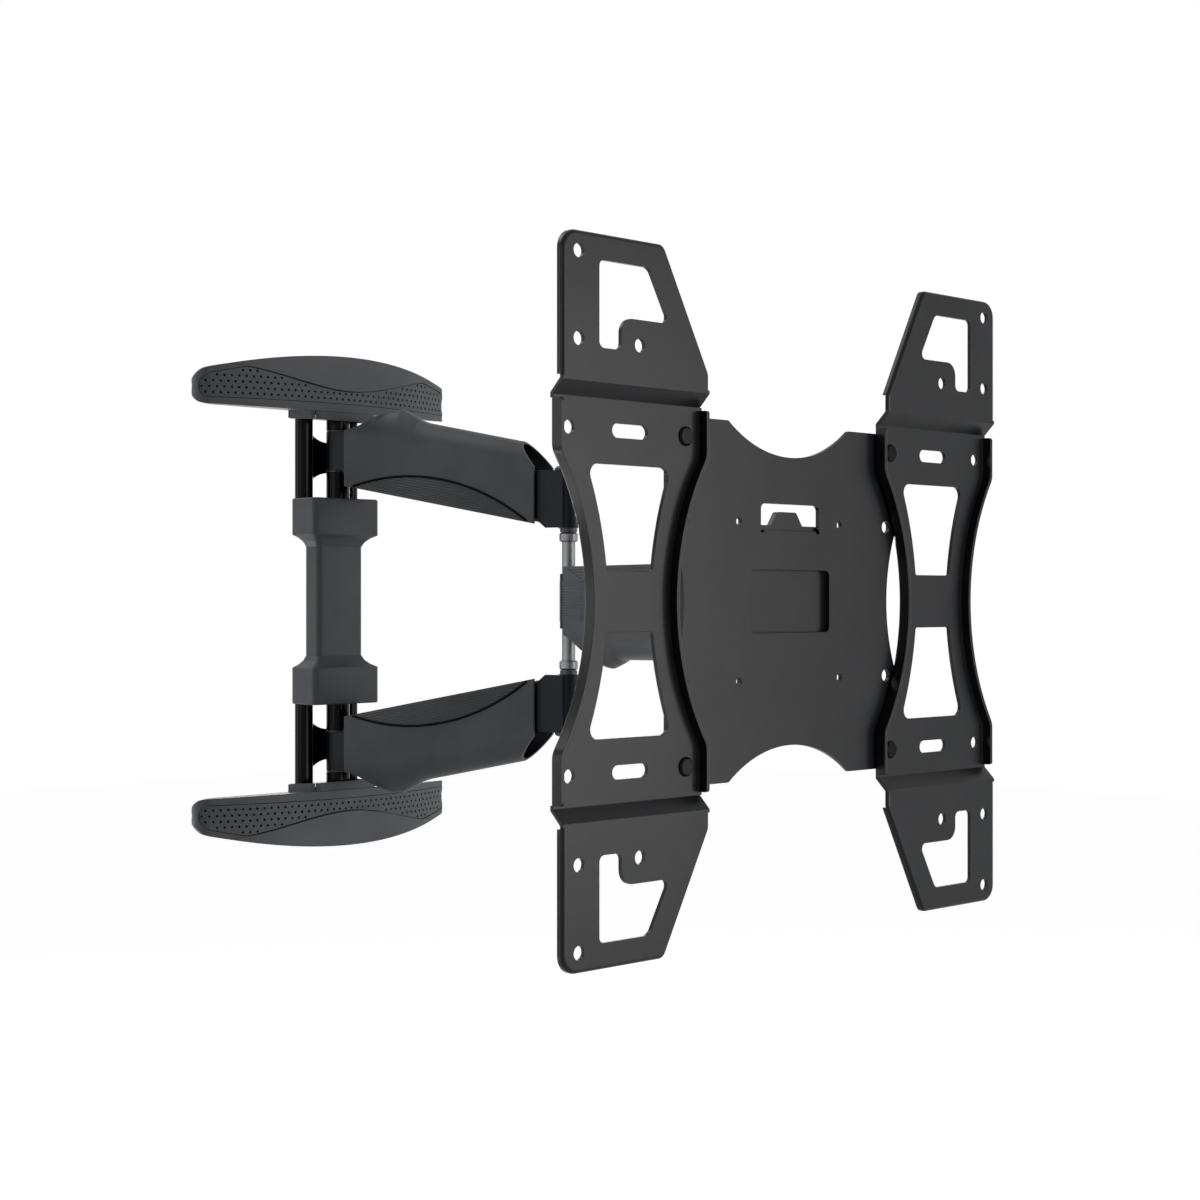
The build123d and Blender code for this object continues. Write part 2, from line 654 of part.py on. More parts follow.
forearm_plane = along(elbow, -ARM_ANGLE)
with BuildPart() as forearm_up:
    add(
        channel(
            forearm_plane,
            [(0, -FOREARM_HALF_Z), (ARM_LENGTH, -FOREARM_HALF_Z)],
            [(0, FOREARM_HALF_Z), (ARM_LENGTH, FOREARM_HALF_Z)],
            [(22, ARM_SHEET - FOREARM_HALF_Z), (190, ARM_SHEET - FOREARM_HALF_Z)],
            [(12.5, 8, -FOREARM_HALF_Z, FOREARM_HALF_Z, pan)],
        )
    )
    # the elbow end narrows to a boss round the shaft
    with BuildSketch(forearm_plane):
        Rectangle(24, 60)
    extrude(amount=20, both=True, mode=Mode.SUBTRACT)
    add(ring(6.6, 0, -FOREARM_HALF_Z, FOREARM_HALF_Z, elbow))
    with BuildSketch(forearm_plane):
        with Locations((7, 0)):
            Rectangle(14, 2 * FOREARM_HALF_Z)
    extrude(amount=5, both=True)
    add(ring(SHAFT_R, 0, -60, 60, elbow), mode=Mode.SUBTRACT)
with BuildPart() as forearm:
    mirror(forearm_up.part, about=Plane.XY)
save(forearm.part, "forearm")
with BuildPart() as forearm_cover_up:
    add(arm_cover(forearm_plane, forearm_fold, FOREARM_SIDE))
with BuildPart() as forearm_cover:
    mirror(forearm_cover_up.part, about=Plane.XY)
save(forearm_cover.part, "forearm_cover")

# Elbow: the forearm's shaft turns in bushes in both arms
with BuildPart() as elbow_shaft:
    add(ring(SHAFT_R, 0, -ELBOW_HIGH + 1, ELBOW_HIGH - 1, elbow))
save(elbow_shaft.part, "elbow_shaft")
RING_LOW, RING_HIGH = 44.3, 51.5
with BuildPart() as elbow_rings:
    add(ring(7, SHAFT_R, RING_LOW, RING_HIGH, elbow))
    chamfer(elbow_rings.edges().filter_by(GeomType.CIRCLE).sort_by(SortBy.RADIUS)[-2:], 1.2)
    mirror(elbow_rings.part, about=Plane.XY)
save(elbow_rings.part, "elbow_rings")
with BuildPart() as elbow_bushes:
    add(ring(7.5, SHAFT_R + RUN_FIT, ELBOW_LOW, ELBOW_HIGH - 3, elbow))
    add(ring(6.5, SHAFT_R + RUN_FIT, RING_HIGH + 0.3, ELBOW_LOW, elbow))
    mirror(elbow_bushes.part, about=Plane.XY)
save(elbow_bushes.part, "elbow_bushes")
with BuildPart() as elbow_caps:
    add(ring(10.5, 0, ELBOW_HIGH, ELBOW_HIGH + 3, elbow))
    chamfer(elbow_caps.edges().sort_by(Axis.Z)[-1:], 1.5)
    mirror(elbow_caps.part, about=Plane.XY)
save(elbow_caps.part, "elbow_caps")


def bush_pair(outer, flange_r, low, high, at):
    """Flanged bushes pressed into both ends of a hinge tube that the 12 mm pin runs in."""
    with BuildPart() as pair:
        for bottom, top, flange in ((low, low + 12, low - FLANGE_T), (high - 12, high, high)):
            add(ring(outer, PIN_R + RUN_FIT, bottom, top, at))
            add(ring(flange_r, PIN_R + RUN_FIT, flange, flange + FLANGE_T, at))
    return pair.part


with BuildPart() as shoulder_bushes:
    add(bush_pair(ROOT_BORE, 9, ROOT_LOW, ROOT_HIGH, shoulder))
    mirror(shoulder_bushes.part, about=Plane.XY)
save(shoulder_bushes.part, "shoulder_bushes")
with BuildPart() as pan_bushes:
    add(bush_pair(8, 11, -FOREARM_HALF_Z, FOREARM_HALF_Z, pan))
save(pan_bushes.part, "pan_bushes")

# Wall side
with BuildPart() as upright:
    # column of rectangular tube
    with BuildSketch(Plane.XY.offset(-LUG_LOW)):
        with Locations((0, -TUBE_REACH)):
            RectangleRounded(33, 14, 3)
            RectangleRounded(28, 9, 1.5, mode=Mode.SUBTRACT)
    extrude(amount=2 * LUG_LOW)
    # lug that holds the shoulder pin's inner end and the feet of the rods
    with BuildSketch(Plane.XY.offset(LUG_LOW)):
        with Locations((0, -LUG_REACH)):
            RectangleRounded(54, 26, 4)
        with Locations(shoulder):
            Circle(PIN_R, mode=Mode.SUBTRACT)
    extrude(amount=LUG_HIGH - LUG_LOW)
    with BuildSketch(Plane.XY.offset(LUG_HIGH)):
        with Locations((-ROD_X, -ROD_REACH), (ROD_X, -ROD_REACH)):
            Circle(ROD_R)
    extrude(amount=SHELF_LOW - LUG_HIGH)
    # web between the rods, hollowed above and below
    with BuildSketch(front(ROD_REACH - 1.5)):
        with BuildLine():
            ThreePointArc((-ROD_X, 144), (0, 127.5), (ROD_X, 144))
            Line((ROD_X, 144), (ROD_X, 88))
            ThreePointArc((ROD_X, 88), (0, 103), (-ROD_X, 88))
            Line((-ROD_X, 88), (-ROD_X, 144))
        make_face()
    extrude(amount=3)
    mirror(upright.part, about=Plane.XY)
    with BuildSketch(Plane.XY.offset(SHELF_LOW)):
        with Locations((-ROD_X, -ROD_REACH), (ROD_X, -ROD_REACH)):
            Circle(4)
    extrude(amount=-20, mode=Mode.SUBTRACT)
    with BuildSketch(Plane.XY.offset(-SHELF_LOW)):
        with Locations((-ROD_X, -ROD_REACH), (ROD_X, -ROD_REACH)):
            Circle(4)
    extrude(amount=20, mode=Mode.SUBTRACT)
save(upright.part, "upright")

shelf_top = SHELF_LOW + SHELF_T
with BuildPart() as wall_plate_upper:
    with BuildSketch(front(0)):
        with Locations((0, 165.5)):
            RectangleRounded(196, 19, 6)
        with Locations((0, (SHELF_LOW + 160) / 2)):
            Rectangle(2 * SHELF_HALF, 160 - SHELF_LOW)
        with Locations((-WALL_SLOT_X, WALL_SLOT_Z), (WALL_SLOT_X, WALL_SLOT_Z)):
            SlotOverall(24, 9, mode=Mode.SUBTRACT)
        with Locations((0, 168)):
            Circle(4.5, mode=Mode.SUBTRACT)
    extrude(amount=PLATE_T)
    # shelf for the hinge pin and the rods, stiffened by a gusset at each end
    with BuildSketch(Plane.XY.offset(SHELF_LOW)):
        with Locations((0, -SHELF_DEEP / 2)):
            Rectangle(2 * SHELF_HALF, SHELF_DEEP)
        with Locations(shoulder):
            Circle(PIN_R, mode=Mode.SUBTRACT)
        with Locations((-ROD_X, -ROD_REACH), (ROD_X, -ROD_REACH)):
            Circle(4, mode=Mode.SUBTRACT)
    extrude(amount=SHELF_T)
    with BuildSketch(Plane.YZ.offset(11)):
        with BuildLine():
            Polyline((-PLATE_T, shelf_top), (-36, shelf_top), (-PLATE_T, 178), close=True)
        make_face()
    gusset = extrude(amount=3)
    mirror(gusset, about=Plane.YZ)
with BuildPart() as wall_plate_lower:
    mirror(wall_plate_upper.part, about=Plane.XY)
save(wall_plate_upper.part, "wall_plate_upper")
save(wall_plate_lower.part, "wall_plate_lower")

with BuildPart() as rod_screws:
    for x in (-ROD_X, ROD_X):
        add(ring(4, 0, SHELF_LOW - 20, shelf_top, (x, -ROD_REACH)))
        add(hexagon(11, shelf_top, shelf_top + 5, (x, -ROD_REACH)))
    mirror(rod_screws.part, about=Plane.XY)
save(rod_screws.part, "rod_screws")

with BuildPart() as shoulder_pins:
    add(ring(PIN_R, 0, LUG_LOW, shelf_top, shoulder))
    add(hexagon(18, shelf_top, shelf_top + 6, shoulder))
    mirror(shoulder_pins.part, about=Plane.XY)
save(shoulder_pins.part, "shoulder_pins")

SPACER_R = 9.3
with BuildPart() as shoulder_spacers:
    add(ring(SPACER_R, PIN_R, LUG_HIGH, ROOT_LOW - FLANGE_T - 0.3, shoulder))
    add(ring(SPACER_R, PIN_R, ROOT_HIGH + FLANGE_T + 0.3, SHELF_LOW, shoulder))
    mirror(shoulder_spacers.part, about=Plane.XY)
save(shoulder_spacers.part, "shoulder_spacers")


# Column cover: moulded sleeve with a coved collar at each end
def column_block(inset):
    """Upper half of the sleeve, drawn in by an inset."""
    with BuildPart() as block:
        for height, share in COVE:
            wide, deep, reach = [narrow + share * (full - narrow) for narrow, full in zip(WAIST, COLLAR)]
            top = height - inset if height == COLLAR_HIGH else height
            with BuildSketch(Plane.XY.offset(top)):
                with Locations((0, -reach)):
                    RectangleRounded(wide - 2 * inset, deep - 2 * inset, COLUMN_CORNER - inset)
        loft(ruled=True)
    return block.part


with BuildPart() as column_cover:
    add(column_block(0))
    chamfer(column_cover.edges().group_by(Axis.Z)[-1], 1)
    add(column_block(COVER_WALL), mode=Mode.SUBTRACT)
    mirror(column_cover.part, about=Plane.XY)
    # holes in the collar ends for the rods and the hinge sleeve
    for end in (-COLLAR_HIGH, LUG_HIGH):
        with BuildSketch(Plane.XY.offset(end)):
            with Locations((-ROD_X, -ROD_REACH), (ROD_X, -ROD_REACH)):
                Circle(ROD_R + 0.3)
            with Locations(shoulder):
                Circle(SPACER_R + 0.3)
        extrude(amount=COLLAR_HIGH - LUG_HIGH, mode=Mode.SUBTRACT)
save(column_cover.part, "column_cover")

# Wall covers: moulded shells with a bowed front, a smooth visor and a sunk dotted panel
NOSE_X, NOSE_REACH, NOSE_R = 111.0, 8.6, 12.0     # round end of the covers in plan
rise = COVER_DEPTH - NOSE_REACH
BOW_R = (NOSE_X**2 + rise**2 - NOSE_R**2) / (2 * (rise - NOSE_R))      # bow that meets both noses smoothly
PANEL_SINK = 1.2
RIM_TOP, RIM_LOW, RIM_END = 4.5, 6.5, 2.0
VISOR_HALF, VISOR_END, VISOR_REACH = 106.0, 23.5, 45.5
COVER_TOP, COVER_ARC = 194.0, 488.0       # top of the covers and the radius of their top edge
TIP_X = 104.0
COVER_SKIN = 3.2
CORE_INSET = 4.5
UNDER_RISE = 3.0            # how far the undersides rise towards the wall
SKIRT_LOW, SKIRT_HALF = 143.4, 31.5
SKIRT_BACK, SKIRT_FRONT, SKIRT_ROOM = 7.0, 41.5, 38.5
SKIRT_WALL, SKIRT_CORNER = 1.5, 8.0


def underside(low, depth):
    """Wedge that lifts an underside from its front edge towards the wall."""
    with BuildPart() as wedge:
        with BuildSketch(Plane.YZ):
            with BuildLine():
                Polyline(
                    (-depth, low), (0, low + UNDER_RISE), (5, low + UNDER_RISE), (5, low - 5),
                    (-depth, low - 5), close=True,
                )
            make_face()
        extrude(amount=2 * COVER_HALF_X, both=True)
    return wedge.part


def nosed(inset):
    """Tall block with the covers' plan, a bowed front between two round noses, drawn in by an inset."""
    radius = NOSE_R - inset
    turn = atan2(NOSE_X, BOW_R - rise)
    side = radians(80)
    join = (NOSE_X + radius * sin(turn), -NOSE_REACH - radius * cos(turn))
    bulge = (NOSE_X + radius * sin(side), -NOSE_REACH - radius * cos(side))
    foot = (NOSE_X + sqrt(radius**2 - NOSE_REACH**2), 0)
    with BuildPart() as block:
        with BuildSketch(Plane.XY.offset(COVER_LOW - 20)):
            with BuildLine():
                ThreePointArc((-join[0], join[1]), (0, inset - COVER_DEPTH), join)
                ThreePointArc(join, bulge, foot)
                Line(foot, (-foot[0], 0))
                ThreePointArc((-foot[0], 0), (-bulge[0], bulge[1]), (-join[0], join[1]))
            make_face()
        extrude(amount=80)
    return block.part


def edge_height(x):
    """Height of the upper cover's top edge at a distance from its middle."""
    return COVER_TOP - COVER_ARC + sqrt(COVER_ARC**2 - x**2)


def cover_face(top=0.0, low=0.0, end=0.0):
    """Front view of the upper cover, drawn in at its top, underside and ends."""
    half = COVER_HALF_X - end
    corner = edge_height(half) - top
    with BuildSketch() as face:
        with BuildLine():
            ThreePointArc((-half, corner), (0, COVER_TOP - top), (half, corner))
            Polyline((half, corner), (half, COVER_LOW + low), (-half, COVER_LOW + low), (-half, corner))
        make_face()
        fillet(face.vertices().sort_by(Axis.Y)[-2:], 9)
        fillet(face.vertices().sort_by(Axis.Y)[:2], 6.5)
    return face.sketch


def visor_face():
    """Crescent of the visor in front view."""
    tip = (TIP_X, edge_height(TIP_X))
    with BuildSketch() as face:
        with BuildLine():
            ThreePointArc((-tip[0], tip[1]), (0, COVER_TOP), tip)
            Spline(tip, (86, 181.2), (50, 174), (0, 167), (-50, 174), (-86, 181.2), (-tip[0], tip[1]))
        make_face()
    return face.sketch


with BuildPart() as upper_cover:
    with BuildSketch(front(0)):
        add(cover_face())
    extrude(amount=COVER_DEPTH + 10)
    add(nosed(0), mode=Mode.INTERSECT)
    add(underside(COVER_LOW, COVER_DEPTH), mode=Mode.SUBTRACT)
with BuildPart() as panel_cut:
    with BuildSketch(front(0)):
        add(cover_face(RIM_TOP, RIM_LOW, RIM_END))
        add(visor_face(), mode=Mode.SUBTRACT)
    extrude(amount=COVER_DEPTH + 10)
    add(nosed(PANEL_SINK), mode=Mode.SUBTRACT)
with BuildPart() as visor:
    with BuildSketch(front(20)):
        add(visor_face())
    extrude(amount=COVER_DEPTH)
    with BuildSketch(Plane.XY.offset(COVER_LOW)):
        with BuildLine():
            ThreePointArc((-VISOR_HALF, -VISOR_END), (0, -VISOR_REACH), (VISOR_HALF, -VISOR_END))
            Polyline((VISOR_HALF, -VISOR_END), (VISOR_HALF, 0), (-VISOR_HALF, 0), (-VISOR_HALF, -VISOR_END))
        make_face()
    extrude(amount=60, mode=Mode.INTERSECT)
with BuildPart() as cover_core:
    with BuildSketch(front(0)):
        add(cover_face(CORE_INSET, CORE_INSET, 2))
    extrude(amount=COVER_DEPTH + 10)
    add(nosed(COVER_SKIN), mode=Mode.INTERSECT)
with BuildPart() as skirt:
    with BuildSketch(Plane.XY.offset(SKIRT_LOW)):
        with Locations((0, -(SKIRT_FRONT + SKIRT_BACK) / 2)):
            Rectangle(2 * SKIRT_HALF, SKIRT_FRONT - SKIRT_BACK)
    extrude(amount=COVER_LOW + 4 - SKIRT_LOW)
    fillet(skirt.edges().filter_by(Axis.Z).sort_by(Axis.Y)[:2], SKIRT_CORNER)
    add(underside(SKIRT_LOW, SKIRT_FRONT), mode=Mode.SUBTRACT)
with BuildPart() as upper_cover_shell:
    add(upper_cover.part)
    add(panel_cut.part, mode=Mode.SUBTRACT)
    add(visor.part)
    add(skirt.part)
    add(cover_core.part, mode=Mode.SUBTRACT)
    # room for the shelf, open below and towards the wall
    with BuildSketch(Plane.XY.offset(SKIRT_LOW - 1)):
        with Locations((0, -SKIRT_ROOM / 2 + 1)):
            Rectangle(2 * (SKIRT_HALF - SKIRT_WALL), SKIRT_ROOM + 2)
    extrude(amount=COVER_LOW + 10 - SKIRT_LOW, mode=Mode.SUBTRACT)
with BuildPart() as lower_cover:
    mirror(upper_cover_shell.part, about=Plane.XY)
save(upper_cover_shell.part, "upper_cover")
save(lower_cover.part, "lower_cover")
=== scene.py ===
from math import atan2, cos, hypot, radians, sin, sqrt

import bpy
from mathutils import Matrix, Vector


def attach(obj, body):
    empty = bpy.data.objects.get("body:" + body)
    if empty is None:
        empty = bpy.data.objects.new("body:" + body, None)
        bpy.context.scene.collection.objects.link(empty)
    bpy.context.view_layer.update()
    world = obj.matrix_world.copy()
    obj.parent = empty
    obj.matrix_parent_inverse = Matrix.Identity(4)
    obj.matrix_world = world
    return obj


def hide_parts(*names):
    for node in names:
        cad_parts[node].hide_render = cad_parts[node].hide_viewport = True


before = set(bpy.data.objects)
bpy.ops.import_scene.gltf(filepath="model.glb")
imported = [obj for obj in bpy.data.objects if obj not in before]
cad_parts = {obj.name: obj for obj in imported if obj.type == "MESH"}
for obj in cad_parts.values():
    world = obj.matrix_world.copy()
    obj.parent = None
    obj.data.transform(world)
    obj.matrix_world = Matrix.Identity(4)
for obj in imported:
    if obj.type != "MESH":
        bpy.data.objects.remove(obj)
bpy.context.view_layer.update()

bpy.ops.object.select_all(action="DESELECT")

# Wall plates and upright. Two pressed steel plates carry the screws in the wall, and a
# welded upright of tube, lugs, rods and webs joins them. All are powder coated before
# assembly, the rods in a smoother black than the plates.
MOTTLE_SCALE, MOTTLE_LOW, MOTTLE_HIGH = 28, 0.3, 0.7
GLOSS_SWING = 0.06
GRAIN_STRENGTH = 0.35


def coated(name, dark, light, roughness, shine, grain, depth, edge=0.0005, metal=0):
    """Painted, moulded or plated finish: mottled colour, fine grain and softened edges."""
    material = bpy.data.materials.new(name)
    material.use_nodes = True
    nodes, links = material.node_tree.nodes, material.node_tree.links
    shader = nodes["Principled BSDF"]
    shader.inputs["Specular IOR Level"].default_value = shine
    shader.inputs["Metallic"].default_value = metal
    place = nodes.new("ShaderNodeTexCoord")
    cloud = nodes.new("ShaderNodeTexNoise")
    cloud.inputs["Scale"].default_value = MOTTLE_SCALE
    cloud.inputs["Detail"].default_value = 3
    links.new(place.outputs["Object"], cloud.inputs["Vector"])
    shade = nodes.new("ShaderNodeValToRGB")
    shade.color_ramp.elements[0].color = (*dark, 1)
    shade.color_ramp.elements[0].position = MOTTLE_LOW
    shade.color_ramp.elements[1].color = (*light, 1)
    shade.color_ramp.elements[1].position = MOTTLE_HIGH
    links.new(cloud.outputs["Fac"], shade.inputs["Fac"])
    links.new(shade.outputs["Color"], shader.inputs["Base Color"])
    speck = nodes.new("ShaderNodeTexNoise")
    speck.inputs["Scale"].default_value = grain
    speck.inputs["Detail"].default_value = 2
    links.new(place.outputs["Object"], speck.inputs["Vector"])
    gloss = nodes.new("ShaderNodeMapRange")
    gloss.inputs["To Min"].default_value = roughness - GLOSS_SWING
    gloss.inputs["To Max"].default_value = roughness + GLOSS_SWING
    links.new(speck.outputs["Fac"], gloss.inputs["Value"])
    links.new(gloss.outputs["Result"], shader.inputs["Roughness"])
    round_edge = nodes.new("ShaderNodeBevel")
    round_edge.samples = 4
    round_edge.inputs["Radius"].default_value = edge
    bump = nodes.new("ShaderNodeBump")
    bump.inputs["Strength"].default_value = GRAIN_STRENGTH
    bump.inputs["Distance"].default_value = depth
    links.new(speck.outputs["Fac"], bump.inputs["Height"])
    links.new(round_edge.outputs["Normal"], bump.inputs["Normal"])
    links.new(bump.outputs["Normal"], shader.inputs["Normal"])
    return material


def paint(piece, material):
    """Give one object a finish in place of what it has."""
    piece.data.materials.clear()
    piece.data.materials.append(material)


def dress(material, *names):
    """Give CAD nodes a finish."""
    for name in names:
        paint(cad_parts[name], material)


arm_coat = coated("arm_coat", (0.003, 0.0045, 0.0075), (0.005, 0.007, 0.011), 0.38, 0.12, 2600, 0.00004)
rod_coat = coated("rod_coat", (0.001, 0.001, 0.0012), (0.002, 0.002, 0.0022), 0.2, 0.06, 2200, 0.00002)
dress(arm_coat, "wall_plate_upper", "wall_plate_lower")
dress(rod_coat, "upright")

# Screws, bolts and nuts. Zinc plated steel from stock, turned and rolled and tightened with a
# wrench. The hinge bolts of the shoulder and the spacers on them are black like the rods.
zinc = coated("zinc", (0.42, 0.42, 0.43), (0.5, 0.5, 0.51), 0.34, 0.5, 1500, 0.00002, 0.0003, metal=1)
dress(zinc, "rod_screws", "pan_bolt", "pan_nut", "tilt_bolt", "tilt_nut", "level_stud", "level_nut")
dress(zinc, "lock_screw", "lock_nut")
dress(rod_coat, "shoulder_pins", "shoulder_spacers")

# Wall covers. Two moulded charcoal shells clip over the wall plates, one the mirror of the
# other: a bowed front with a smooth visor, a sunk panel that takes the dotted skin, and ends
# that close in a round towards the wall. A moulded sleeve covers the column between them.
cover_plastic = coated(
    "cover_plastic", (0.05, 0.053, 0.058), (0.062, 0.065, 0.071), 0.46, 0.14, 1900, 0.00005
)
# Lighter copy of the cover plastic for the wall shells and their skins; the extra lightness is painted
# light.
lightened_shell_plastic = coated(
    "lightened_shell_plastic", (0.056, 0.059, 0.064), (0.068, 0.071, 0.077), 0.46, 0.14, 1900, 0.00005
)
dress(cover_plastic, "column_cover")
END_X, END_Y = 0.7075, 0.7067
END_U, END_RUN, END_R = 0.07245, 0.01215, 0.0108
END_CUTS = 10
COVER_MIDDLE, COVER_HIGH = 0.1658, 0.014
MERGE = 0.000002
SMOOTH = radians(30)


def own_copy(piece, name):
    """Copy of an object, with its own mesh."""
    copy = bpy.data.objects.new(name, piece.data.copy())
    bpy.context.collection.objects.link(copy)
    return copy


def pick(piece):
    """Select one object alone and make it the active one."""
    bpy.ops.object.select_all(action="DESELECT")
    piece.select_set(True)
    bpy.context.view_layer.objects.active = piece


def rounded_cover(node, name, up):
    """Copy of a wall cover whose two ends close in a round towards the wall; up is 1 or -1."""
    cover = own_copy(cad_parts[node], name)
    pick(cover)
    bpy.ops.mesh.customdata_custom_splitnormals_clear()
    bpy.ops.object.mode_set(mode="EDIT")
    bpy.ops.mesh.select_all(action="SELECT")
    bpy.ops.mesh.remove_doubles(threshold=MERGE)
    for side in (-1, 1):
        across = Vector((side * END_X, END_Y, 0))
        for step in range(END_CUTS):
            cut = across * (END_U + END_RUN * sin(radians(90 * step / END_CUTS)))
            bpy.ops.mesh.select_all(action="SELECT")
            bpy.ops.mesh.bisect(plane_co=cut, plane_no=across)
    bpy.ops.object.mode_set(mode="OBJECT")
    for vertex in cover.data.vertices:
        run = (END_X * abs(vertex.co.x) + END_Y * vertex.co.y - END_U) / END_RUN
        drop = END_R * (1 - sqrt(1 - min(max(run, 0), 1) ** 2))
        offset = vertex.co.z - up * COVER_MIDDLE
        vertex.co.z = up * COVER_MIDDLE + offset * (1 - drop / COVER_HIGH)
    bpy.ops.object.shade_smooth_by_angle(angle=SMOOTH)
    paint(cover, lightened_shell_plastic)
    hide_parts(node)
    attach(cover, "wall_unit")
    return cover


upper_shell = rounded_cover("upper_cover", "upper_cover_shell", 1)
lower_shell = rounded_cover("lower_cover", "lower_cover_shell", -1)

# Dotted skins. A thin perforated moulding lies in the sunk panel of each wall cover and wraps
# its round ends. Its staggered round holes end on a black sheet behind, painted shade for the
# inside of the holes, and a thin black bead all round its edge is painted shade in the crease
# at the panel's rim.
# Black for painted shade only: the sheet behind the holes, the bead round the skins and the shadow lines
# along the scallops.
shade_black = coated("shade_black", (0.001, 0.001, 0.001), (0.002, 0.002, 0.002), 0.8, 0.05, 900, 0.00002)
BOW_R, BOW_Y = 0.29822, 0.25522
NOSE_X, NOSE_Y, NOSE_R = 0.111, -0.0086, 0.012
SINK = 0.0012
PANEL_NEAR, PANEL_BACK = 0.00004, -0.005
RIM_SHADE_R, SKIN_T, HOLE_SHADE_T = 0.0006, 0.0006, 0.0001
DOT_R, DOT_LONG, DOT_SIDES = 0.001, 0.003, 10
DOT_PITCH, DOT_ROW, DOT_LOW = 0.0058, 0.00445, 0.1605
DOT_ROWS, DOT_COLUMNS = range(-1, 9), range(-26, 27)
DOT_MARGIN, DOT_REACH = 0.0019, 0.001
bow_turn = atan2(NOSE_X, BOW_Y - NOSE_Y)
bow_run = (BOW_R - SINK) * bow_turn


def panel_point(run):
    """Place and outward normal on the panel, at a distance along it from the middle."""
    side = 1 if run > 0 else -1
    if abs(run) < bow_run:
        angle = run / (BOW_R - SINK)
        normal = Vector((sin(angle), -cos(angle), 0))
        return Vector((0, BOW_Y, 0)) + normal * (BOW_R - SINK), normal
    angle = bow_turn + (abs(run) - bow_run) / (NOSE_R - SINK)
    normal = Vector((side * sin(angle), -cos(angle), 0))
    return Vector((side * NOSE_X, NOSE_Y, 0)) + normal * (NOSE_R - SINK), normal


def join(pieces):
    """Join several objects into the first of them."""
    pick(pieces[0])
    for piece in pieces[1:]:
        piece.select_set(True)
    bpy.ops.object.join()
    return pieces[0]


def thicken(sheet, thickness, offset):
    """Give a sheet its thickness."""
    pick(sheet)
    wall = sheet.modifiers.new("thickness", "SOLIDIFY")
    wall.thickness = thickness
    wall.offset = offset
    bpy.ops.object.modifier_apply(modifier="thickness")


def panel_sheet(cover, name):
    """Open sheet of the faces that lie in the sunk panel of one wall cover."""
    sheet = own_copy(cover, name)
    pick(sheet)
    bpy.ops.object.mode_set(mode="EDIT")
    bpy.ops.mesh.select_mode(type="FACE")
    bpy.ops.mesh.select_all(action="SELECT")
    bpy.ops.mesh.remove_doubles(threshold=MERGE)
    bpy.ops.mesh.select_all(action="DESELECT")
    bpy.ops.object.mode_set(mode="OBJECT")
    on_panel = []
    for vertex in sheet.data.vertices:
        bow = abs(hypot(vertex.co.x, vertex.co.y - BOW_Y) - BOW_R + SINK)
        nose = abs(hypot(abs(vertex.co.x) - NOSE_X, vertex.co.y - NOSE_Y) - NOSE_R + SINK)
        on_panel.append(min(bow, nose) < PANEL_NEAR and vertex.co.y < PANEL_BACK)
    for face in sheet.data.polygons:
        face.select = not all(on_panel[v] for v in face.vertices)
    bpy.ops.object.mode_set(mode="EDIT")
    bpy.ops.mesh.delete(type="FACE")
    bpy.ops.object.mode_set(mode="OBJECT")
    return sheet


def rim_shade_bead(sheet, name):
    """Thin round black bead along the edge of the sheet, painted shade in the crease at the panel's rim."""
    pick(sheet)
    bpy.ops.object.mode_set(mode="EDIT")
    bpy.ops.mesh.select_all(action="SELECT")
    bpy.ops.mesh.region_to_loop()
    bpy.ops.mesh.duplicate()
    bpy.ops.mesh.separate(type="SELECTED")
    bpy.ops.object.mode_set(mode="OBJECT")
    rim_bead = [piece for piece in bpy.context.selected_objects if piece != sheet][0]
    rim_bead.name = name
    pick(rim_bead)
    bpy.ops.object.convert(target="CURVE")
    rim_bead.data.bevel_depth = RIM_SHADE_R
    rim_bead.data.bevel_resolution = 1
    bpy.ops.object.convert(target="MESH")
    rim_bead.data.transform(Matrix.Translation((0, -SKIN_T / 2, 0)))
    paint(rim_bead, shade_black)
    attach(rim_bead, "wall_unit")


def hole_shade_sheet(sheet, name):
    """Black sheet behind the skin, on which the holes end: painted shade for the inside of the holes."""
    hole_shade = own_copy(sheet, name)
    thicken(hole_shade, HOLE_SHADE_T, 1)
    paint(hole_shade, shade_black)
    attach(hole_shade, "wall_unit")


def hole_punches(sheet, up):
    """Pins at the places of all the holes that keep a margin to the edge of the sheet."""
    bpy.ops.object.select_all(action="DESELECT")
    bpy.ops.mesh.primitive_cylinder_add(vertices=DOT_SIDES, radius=DOT_R, depth=DOT_LONG, location=(0, 0, 0))
    pattern = bpy.context.active_object
    pins = []
    for row in DOT_ROWS:
        for column in DOT_COLUMNS:
            run = (column + 0.5 * (row % 2)) * DOT_PITCH
            height = DOT_LOW + row * DOT_ROW
            inside = True
            for angle in range(0, 360, 45):
                near, normal = panel_point(run + DOT_MARGIN * cos(radians(angle)))
                near.z = up * (height + DOT_MARGIN * sin(radians(angle)))
                hit = sheet.ray_cast(near + normal * DOT_REACH, -normal, distance=2 * DOT_REACH)
                inside = inside and hit[0]
            if inside:
                place, normal = panel_point(run)
                place.z = up * height
                turned = normal.to_track_quat("Z", "Y").to_matrix().to_4x4()
                pin = own_copy(pattern, "pin")
                pin.data.transform(Matrix.Translation(place) @ turned)
                pins.append(pin)
    bpy.data.objects.remove(pattern)
    return join(pins)


